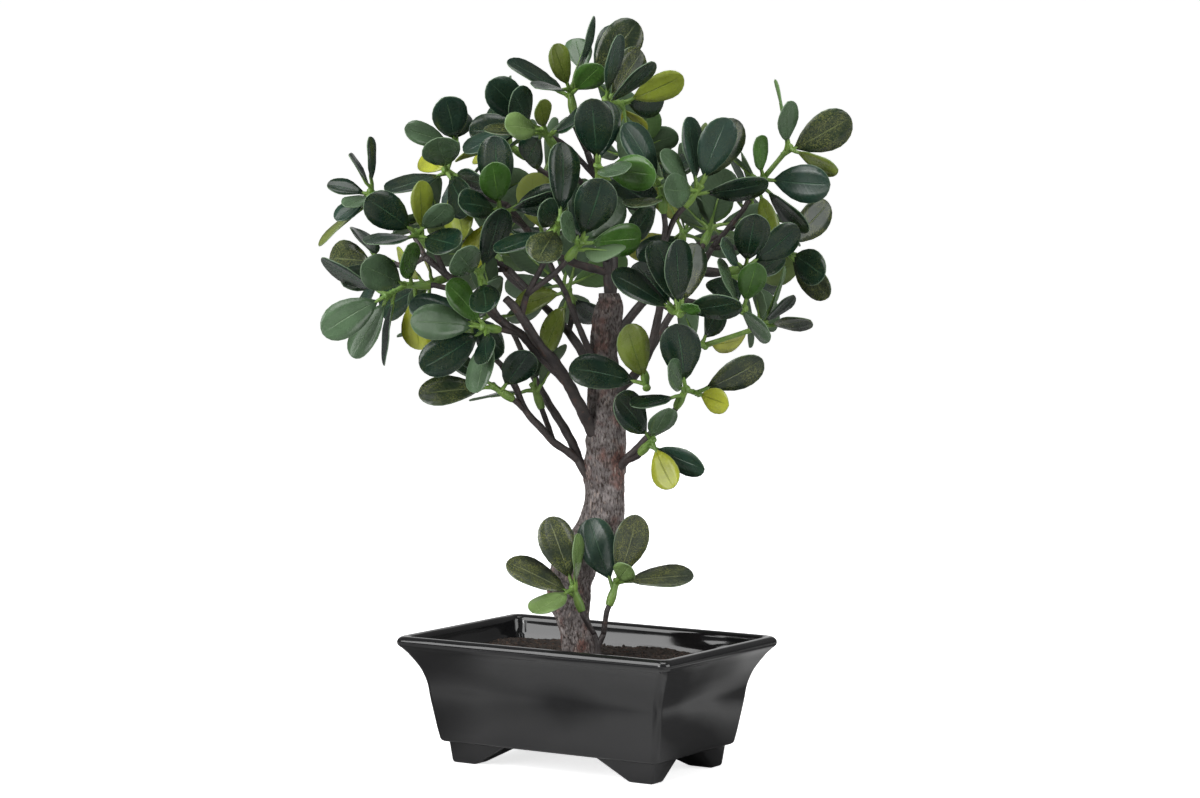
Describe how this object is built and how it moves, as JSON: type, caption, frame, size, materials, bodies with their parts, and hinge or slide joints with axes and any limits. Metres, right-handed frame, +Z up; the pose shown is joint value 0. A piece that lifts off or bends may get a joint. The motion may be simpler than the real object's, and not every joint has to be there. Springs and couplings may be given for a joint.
{
  "type": "artificial ficus bonsai in a footed pot",
  "caption": "Artificial ficus bonsai: leafy sprigs on dark branches of a barked trunk, standing in a glossy black rectangular pot with feet.",
  "frame": {"origin": "middle of the whole object's outline seen from above, in the plane the pot's feet stand on", "axes": "+Z up along the trunk, X along the pot's long side, Y across it; the tree's front looks 33 degrees off -Y towards +X"},
  "size_m": [0.2666, 0.26, 0.409],
  "materials": {
    "pot_black": "gloss",
    "block_grey": "rough cast",
    "soil_brown": "loose fibre",
    "bark": "rough bark",
    "branch_dark": "satin, knobbly",
    "leaf_green": "satin leaves on moulded green stalks"
  },
  "bodies": {
    "root": {"pot": "pot_black", "cast_block": "block_grey", "soil": "soil_brown", "trunk": "bark", "branch_back_left": "branch_dark", "branch_back_right": "branch_dark", "branch_back_top": "branch_dark", "branch_inner_left": "branch_dark", "branch_left": "branch_dark", "branch_low_left": "branch_dark", "branch_low_right": "branch_dark", "branch_right": "branch_dark", "branch_top": "branch_dark", "shoot": "branch_dark", "sprig_back_1": "leaf_green", "sprig_back_10": "leaf_green", "sprig_back_11": "leaf_green", "sprig_back_2": "leaf_green", "sprig_back_3": "leaf_green", "sprig_back_4": "leaf_green", "sprig_back_5": "leaf_green", "sprig_back_6": "leaf_green", "sprig_back_7": "leaf_green", "sprig_back_8": "leaf_green", "sprig_back_9": "leaf_green", "sprig_base_left": "leaf_green", "sprig_base_right": "leaf_green", "sprig_far_left": "leaf_green", "sprig_far_right": "leaf_green", "sprig_fork_left": "leaf_green", "sprig_fork_right": "leaf_green", "sprig_front_left": "leaf_green", "sprig_high_right": "leaf_green", "sprig_inner_left": "leaf_green", "sprig_inner_low": "leaf_green", "sprig_inner_right": "leaf_green", "sprig_left": "leaf_green", "sprig_left_behind": "leaf_green", "sprig_left_edge": "leaf_green", "sprig_left_front": "leaf_green", "sprig_left_inner": "leaf_green", "sprig_left_low": "leaf_green", "sprig_low_behind": "leaf_green", "sprig_low_inner": "leaf_green", "sprig_low_left": "leaf_green", "sprig_low_right": "leaf_green", "sprig_middle": "leaf_green", "sprig_right": "leaf_green", "sprig_right_edge": "leaf_green", "sprig_right_front": "leaf_green", "sprig_right_inner": "leaf_green", "sprig_right_low": "leaf_green", "sprig_top": "leaf_green", "sprig_top_front": "leaf_green", "sprig_top_left": "leaf_green", "sprig_top_right": "leaf_green", "sprig_trunk_front": "leaf_green", "sprig_trunk_right": "leaf_green", "sprig_upper_left": "leaf_green", "sprig_upper_right": "leaf_green"}
  },
  "joints": []
}
